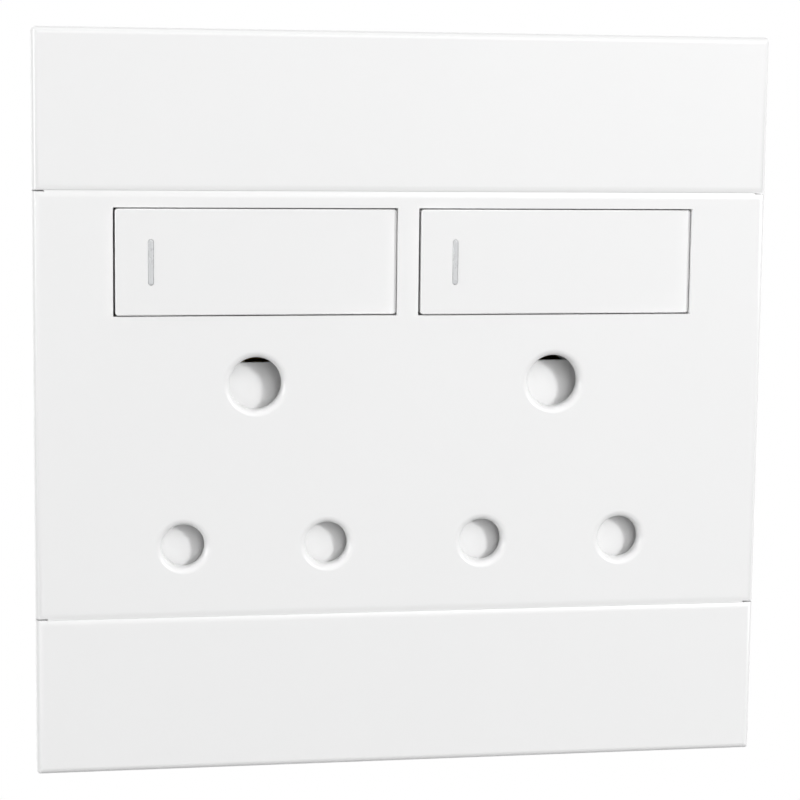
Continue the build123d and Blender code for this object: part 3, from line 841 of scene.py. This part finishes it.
@dataclass
class Studio:
    """Camera, lamps, floor and the white surroundings.

    Attributes:
        picture: The picture's width in pixels.
        focal: The focal length in pixels.
        film: The camera's film width in millimetres.
        tilt: The plate's turn about X as the camera sees it, in degrees, made last.
        swing: Its turn about Y, made before that.
        roll: Its turn about Z, made first.
        offset: The middle of the plate's face as the camera sees it, in millimetres.
        face: The Y of the plate's face.
        near: The nearest distance that the camera sees, in metres.
        surround: The light that the surroundings give.
        floor_tone: The floor's own grey, for the light that it throws back.
        floor_drop: How far the floor lies under the socket's middle, in metres.
        floor_size: The floor's side in metres.
    """

    picture: float = 800.0
    focal: float = 2335.9
    film: float = 36.0
    tilt: float = 7.489
    swing: float = 9.811
    roll: float = -0.652
    offset: tuple[float, float, float] = (1.17, -0.7, -412.7)
    face: float = -9.5
    near: float = 0.01
    surround: float = 0.24
    floor_tone: float = 0.3
    floor_drop: float = 0.32
    floor_size: float = 3.0

    def place_camera(self) -> None:
        """Stand the camera where the photograph was taken from."""
        look = Matrix.Rotation(math.radians(self.tilt), 3, "X")
        look = look @ Matrix.Rotation(math.radians(self.swing), 3, "Y")
        look = look @ Matrix.Rotation(math.radians(self.roll), 3, "Z")
        upright = Matrix(((1, 0, 0), (0, 0, -1), (0, 1, 0)))
        back = upright @ look.transposed()
        spot = back @ -Vector(self.offset) + Vector((0, self.face, 0))
        data = bpy.data.cameras.new("camera")
        data.sensor_width = self.film
        data.lens = self.focal / self.picture * self.film
        data.clip_start = self.near
        camera = bpy.data.objects.new("camera", data)
        camera.matrix_world = Matrix.Translation(spot * MM) @ back.to_4x4()
        bpy.context.scene.collection.objects.link(camera)
        bpy.context.scene.camera = camera

    def white_for_camera(self, tree: bpy.types.NodeTree) -> bpy.types.NodeSocket:
        """Give 1 for rays that should see plain white, and 0 for those that carry light.

        Args:
            tree: The node tree that the nodes go into.

        Returns:
            The mask.
        """
        path = tree.nodes.new("ShaderNodeLightPath")
        mask = path.outputs["Is Camera Ray"]
        for name in ("Is Glossy Ray", "Is Transmission Ray"):
            joined = tree.nodes.new("ShaderNodeMath")
            joined.operation = "MAXIMUM"
            tree.links.new(mask, joined.inputs[0])
            tree.links.new(path.outputs[name], joined.inputs[1])
            mask = joined.outputs[0]
        return mask

    def light_world(self) -> None:
        """Surround the scene with white that lights it only softly."""
        world = bpy.data.worlds.new("surroundings")
        world.use_nodes = True
        bpy.context.scene.world = world
        tree = world.node_tree
        ground = tree.nodes["Background"]
        mask = self.white_for_camera(tree)
        level = tree.nodes.new("ShaderNodeMapRange")
        level.inputs["To Min"].default_value = self.surround
        level.inputs["To Max"].default_value = 1.0
        tree.links.new(mask, level.inputs["Value"])
        tree.links.new(level.outputs["Result"], ground.inputs["Strength"])
        ground.inputs["Color"].default_value = (1.0, 1.0, 1.0, 1.0)

    def lay_floor(self) -> None:
        """Lay a pale floor under the hung socket, which the camera sees as plain white."""
        sheet = bmesh.new()
        bmesh.ops.create_grid(sheet, x_segments=1, y_segments=1, size=self.floor_size / 2)
        bmesh.ops.translate(sheet, verts=sheet.verts, vec=(0, 0, -self.floor_drop))
        mesh = bpy.data.meshes.new("floor")
        sheet.to_mesh(mesh)
        sheet.free()
        floor = bpy.data.objects.new("floor", mesh)
        bpy.context.scene.collection.objects.link(floor)
        nodes = NodeTree("floor")
        tone = self.floor_tone
        matt = nodes.add("ShaderNodeBsdfDiffuse", Color=(tone, tone, tone, 1.0))
        seen = nodes.add("ShaderNodeEmission", Color=(1.0, 1.0, 1.0, 1.0), Strength=1.0)
        mix = nodes.add("ShaderNodeMixShader")
        nodes.join(self.white_for_camera(nodes.tree), mix.inputs["Fac"])
        nodes.join(matt.outputs["BSDF"], mix.inputs[1])
        nodes.join(seen.outputs["Emission"], mix.inputs[2])
        nodes.join(mix.outputs["Shader"], nodes.output.inputs["Surface"])
        mesh.materials.append(nodes.material)

    def build(self) -> None:
        """Set up the whole studio."""
        bpy.context.scene.view_settings.view_transform = "Standard"
        self.place_camera()
        for lamp in LAMPS:
            lamp.hang()
        self.light_world()
        self.lay_floor()


def main() -> None:
    """Build every sub-assembly in order and report each."""
    logging.basicConfig(level=logging.INFO, format="%(message)s")
    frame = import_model()
    shop = Workshop(frame["nodes"], Wardrobe({}))
    for maker in (Backwork, EjectorMarks, Contacts, Shutters, Boards, Rockers, Covers):
        maker(shop).build()
        log.info("%s finished", maker.__name__)
    Studio().build()


if __name__ == "__main__":
    main()
